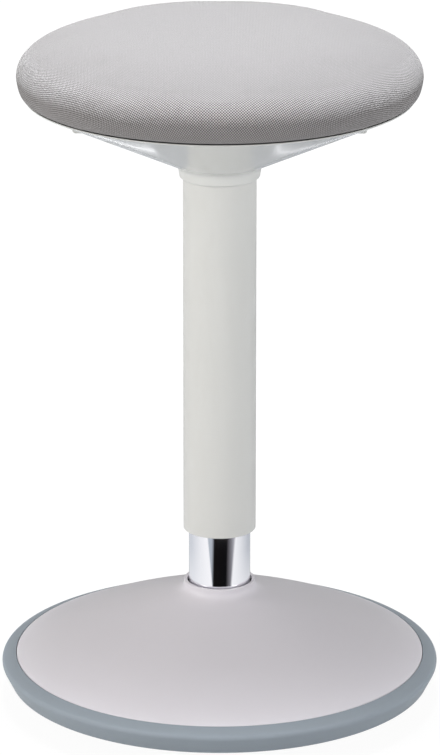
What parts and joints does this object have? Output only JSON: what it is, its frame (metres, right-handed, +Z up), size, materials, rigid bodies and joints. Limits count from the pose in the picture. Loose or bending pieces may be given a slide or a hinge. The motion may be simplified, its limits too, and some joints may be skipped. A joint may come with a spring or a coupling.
{
  "type": "wobble stool",
  "caption": "Round padded stool on a gas-lift column with twin release levers, swivelling over a weighted dome base whose rounded underside lets it rock.",
  "frame": {"origin": "on the floor, on the column's axis, under the centre of the flat floor pad", "axes": "+Z up along the column, -Y to the front, +X to the sitter's side where the right lever is"},
  "size_m": [0.357, 0.357, 0.5642],
  "materials": {
    "pad_rubber": "matte moulded rubber",
    "pan_plastic": "textured moulded plastic",
    "dome_plastic": "satin light grey with a faint lilac tone",
    "rim_rubber": "matte blue-grey soft moulding",
    "cast_iron": "as cast, dull",
    "black_steel": "semi-gloss black paint",
    "black_rubber": "matte black rubber",
    "chrome": "polished chrome plate",
    "nylon": "natural nylon",
    "steel": "zinc-plated or ground steel",
    "sleeve_paint": "satin warm light grey powder coat",
    "cowl_plastic": "glossy light grey moulding",
    "lever_plastic": "glossy light grey moulding",
    "plywood": "raw plywood",
    "foam": "cut cushion foam",
    "seat_fabric": "woven grey twill"
  },
  "bodies": {
    "base": {"floor_pad": "pad_rubber", "base_pan": "pan_plastic", "base_dome": "dome_plastic", "base_rim": "rim_rubber", "ballast_ring": "cast_iron", "column_socket": "black_steel", "collar_seal": "black_rubber", "chrome_tube": "chrome", "guide_bush": "nylon", "lower_race": "steel", "ball_cage": "nylon", "pan_screw_1": "steel", "pan_screw_2": "steel", "pan_screw_3": "steel", "pan_screw_4": "steel", "socket_bolt_1": "steel", "socket_bolt_2": "steel", "socket_bolt_3": "steel", "socket_bolt_4": "steel"},
    "rod": {"piston_rod": "steel", "rod_clip": "steel", "upper_race": "steel", "bump_stop": "black_rubber", "piston": "steel", "piston_seal": "black_rubber"},
    "seat": {"gas_cylinder": "black_steel", "cylinder_seal": "black_rubber", "valve_body": "steel", "outer_sleeve": "sleeve_paint", "sleeve_bush": "nylon", "seat_cowl": "cowl_plastic", "seat_bracket": "black_steel", "seat_board": "plywood", "seat_foam": "foam", "seat_cover": "seat_fabric", "plate_bolt_1": "steel", "plate_bolt_2": "steel", "plate_bolt_3": "steel", "plate_bolt_4": "steel", "tee_nut_1": "steel", "tee_nut_2": "steel", "tee_nut_3": "steel", "tee_nut_4": "steel", "cowl_screw_1": "steel", "cowl_screw_2": "steel", "cowl_screw_3": "steel", "cowl_screw_4": "steel", "pivot_pin_left": "steel", "pivot_pin_right": "steel"},
    "lever_left": {"lever_left": "lever_plastic", "link_pin": "steel"},
    "lever_right": {"lever_right": "lever_plastic"},
    "button": {"release_button": "steel"}
  },
  "joints": [
    {"name": "column_swivel", "type": "hinge", "parent": "base", "child": "rod", "pos_m": [0, 0, 0.022], "axis": [0, 0, 1], "continuous": true},
    {"name": "seat_lift", "type": "slide", "parent": "rod", "child": "seat", "axis": [0, 0, 1], "range_m": [0, 0.22]},
    {"name": "left_lever_pivot", "type": "hinge", "parent": "seat", "child": "lever_left", "pos_m": [-0.03, 0, 0.497], "axis": [0, 1, 0], "range_deg": [0, 4.5], "stiffness_Nm_per_rad": 2, "springref_deg": -2.86},
    {"name": "right_lever_pivot", "type": "hinge", "parent": "seat", "child": "lever_right", "pos_m": [0.03, 0, 0.497], "axis": [0, -1, 0], "range_deg": [0, 4.5]},
    {"name": "button_press", "type": "slide", "parent": "seat", "child": "button", "axis": [0, 0, -1], "range_m": [0, 0.0024]}
  ],
  "couplings": [
    {"joint": "right_lever_pivot", "follows": "left_lever_pivot", "ratio": 1},
    {"joint": "button_press", "follows": "left_lever_pivot", "m_per_rad": 0.0302}
  ]
}
